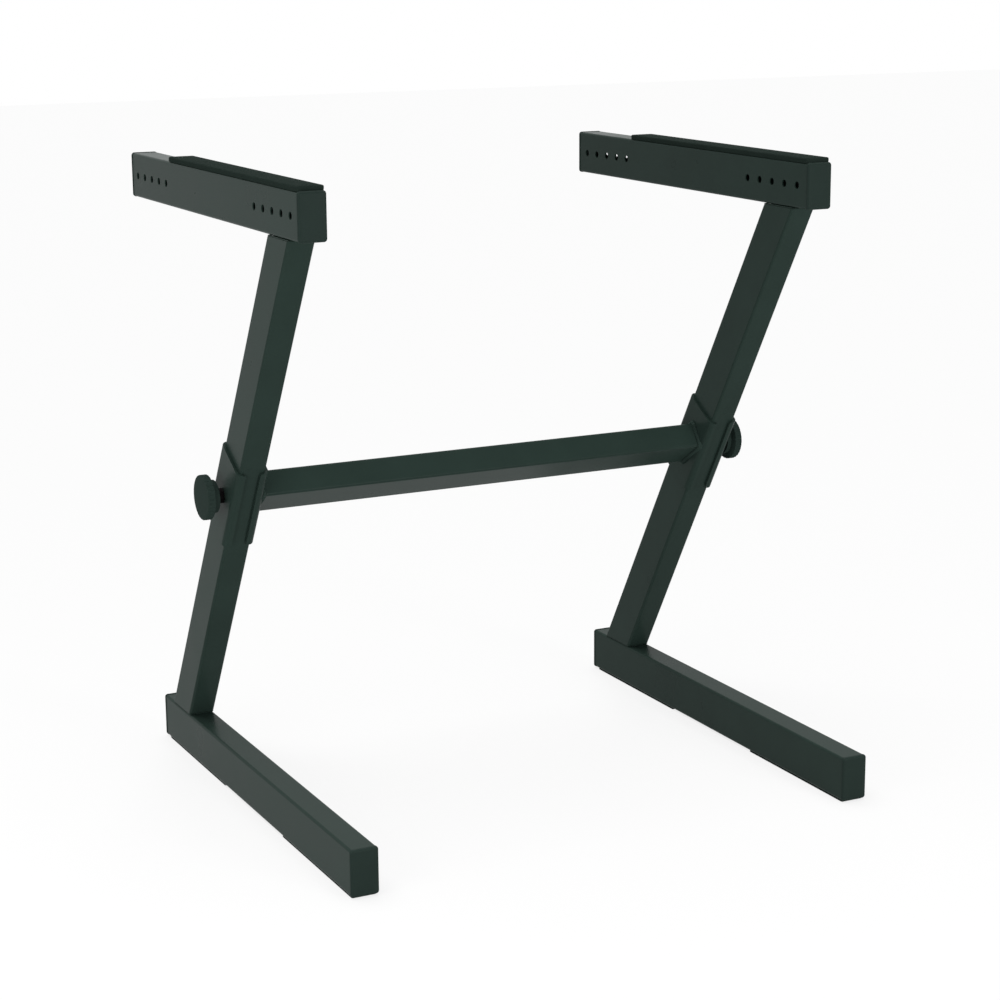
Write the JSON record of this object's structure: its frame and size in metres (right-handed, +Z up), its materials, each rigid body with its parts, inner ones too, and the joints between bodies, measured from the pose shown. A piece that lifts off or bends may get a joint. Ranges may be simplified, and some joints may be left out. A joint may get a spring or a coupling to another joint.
{
  "type": "z keyboard stand",
  "caption": "Keyboard stand of rectangular steel tube: Z-shaped legs with padded arms, joined by a crossbar whose sleeves slide on the leaning columns and lock with knobs.",
  "frame": {"origin": "on the floor, under the middle of the box round the whole stand", "axes": "+Z up; +X to the right, along the crossbar; +Y from the feet's long front ends to their heels, so the columns lean forwards as they rise"},
  "size_m": [0.6776, 0.619, 0.706],
  "materials": {
    "steel_paint": "semi-gloss powder coat, very dark green-black",
    "weld_paint": "painted weld bead",
    "plug_plastic": "satin moulded plastic",
    "knob_plastic": "satin moulded plastic",
    "foot_rubber": "matte rubber",
    "pad_foam": "matte closed-cell foam rubber",
    "black_steel": "black oxide"
  },
  "bodies": {
    "left_leg": {"left_foot_tube": "steel_paint", "left_foot_front_plug": "plug_plastic", "left_foot_rear_plug": "plug_plastic", "left_foot_front_strip": "foot_rubber", "left_foot_rear_strip": "foot_rubber", "left_column_tube": "steel_paint", "left_foot_weld": "weld_paint", "left_arm_weld": "weld_paint", "left_arm_tube": "steel_paint", "left_arm_front_plug": "plug_plastic", "left_arm_rear_plug": "plug_plastic", "left_arm_pad": "pad_foam"},
    "crossbar": {"crossbar_tube": "steel_paint", "left_sleeve": "steel_paint", "left_sleeve_weld": "weld_paint", "left_clamp_bush": "black_steel", "right_sleeve": "steel_paint", "right_sleeve_weld": "weld_paint", "right_clamp_bush": "black_steel"},
    "right_leg": {"right_foot_tube": "steel_paint", "right_foot_front_plug": "plug_plastic", "right_foot_rear_plug": "plug_plastic", "right_foot_front_strip": "foot_rubber", "right_foot_rear_strip": "foot_rubber", "right_column_tube": "steel_paint", "right_foot_weld": "weld_paint", "right_arm_weld": "weld_paint", "right_arm_tube": "steel_paint", "right_arm_front_plug": "plug_plastic", "right_arm_rear_plug": "plug_plastic", "right_arm_pad": "pad_foam"},
    "left_pressure_pad": {"left_pressure_pad": "knob_plastic"},
    "left_knob": {"left_knob": "knob_plastic", "left_clamp_screw": "black_steel"},
    "right_pressure_pad": {"right_pressure_pad": "knob_plastic"},
    "right_knob": {"right_knob": "knob_plastic", "right_clamp_screw": "black_steel"}
  },
  "joints": [
    {"name": "crossbar_slide", "type": "slide", "parent": "left_leg", "child": "crossbar", "axis": [0, -0.5154, 0.857], "range_m": [-0.26, 0.26]},
    {"name": "right_leg_slide", "type": "slide", "parent": "crossbar", "child": "right_leg", "axis": [0, -0.5154, 0.857], "range_m": [-0.26, 0.26]},
    {"name": "left_screw_travel", "type": "slide", "parent": "crossbar", "child": "left_pressure_pad", "axis": [-1, 0, 0], "range_m": [0, 0.0025]},
    {"name": "left_knob_turn", "type": "hinge", "parent": "left_pressure_pad", "child": "left_knob", "pos_m": [-0.3143, 0.02679, 0.34886], "axis": [-1, 0, 0], "range_deg": [0, 720]},
    {"name": "right_screw_travel", "type": "slide", "parent": "crossbar", "child": "right_pressure_pad", "axis": [1, 0, 0], "range_m": [0, 0.0025]},
    {"name": "right_knob_turn", "type": "hinge", "parent": "right_pressure_pad", "child": "right_knob", "pos_m": [0.3143, 0.02679, 0.34886], "axis": [1, 0, 0], "range_deg": [0, 720]}
  ],
  "couplings": [
    {"joint": "right_leg_slide", "follows": "crossbar_slide", "ratio": -1},
    {"joint": "left_knob_turn", "follows": "left_screw_travel", "rad_per_m": 5026.5},
    {"joint": "right_knob_turn", "follows": "right_screw_travel", "rad_per_m": 5026.5}
  ]
}
